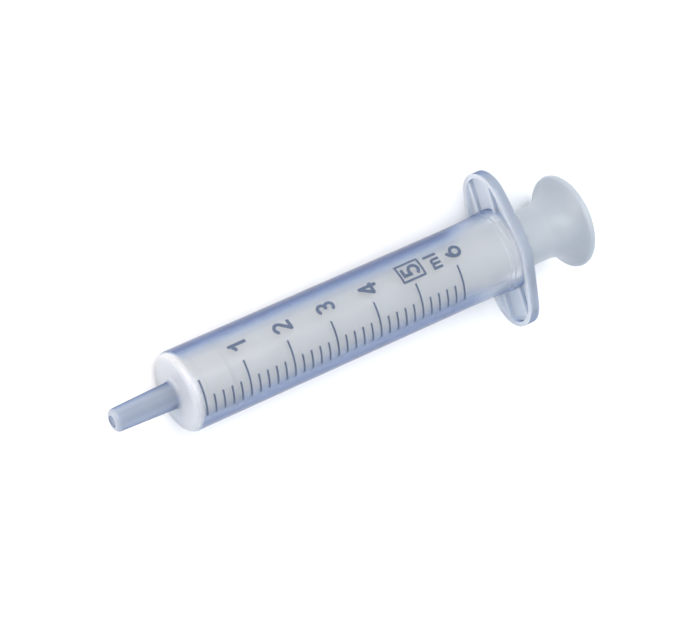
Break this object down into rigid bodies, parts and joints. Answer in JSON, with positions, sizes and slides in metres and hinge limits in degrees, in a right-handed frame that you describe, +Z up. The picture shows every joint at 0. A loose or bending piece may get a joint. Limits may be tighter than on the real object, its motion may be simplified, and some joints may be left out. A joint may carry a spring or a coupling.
{
  "type": "oral syringe",
  "caption": "Clear graduated barrel with a slip tip and a two-winged finger flange, and a sliding white plunger with a round thumb disc.",
  "frame": {"origin": "under the middle of the whole syringe, on the surface that it lies on", "axes": "+X along the syringe from the tip to the thumb disc, the two wings along +Y and -Y, +Z up from the table, with the printed scale on the upper side"},
  "size_m": [0.092, 0.0278, 0.0167],
  "materials": {
    "clear_polypropylene": "gloss",
    "white_polyethylene": "satin",
    "scale_ink": "matte"
  },
  "bodies": {
    "barrel": {"barrel": "clear_polypropylene", "major_marks": "scale_ink", "minor_marks": "scale_ink", "numerals": "scale_ink", "capacity_box": "scale_ink", "unit_letters": "scale_ink"},
    "plunger": {"plunger": "white_polyethylene"}
  },
  "joints": [
    {"name": "plunger_slide", "type": "slide", "parent": "barrel", "child": "plunger", "axis": [1, 0, 0], "range_m": [0, 0.0539]}
  ]
}
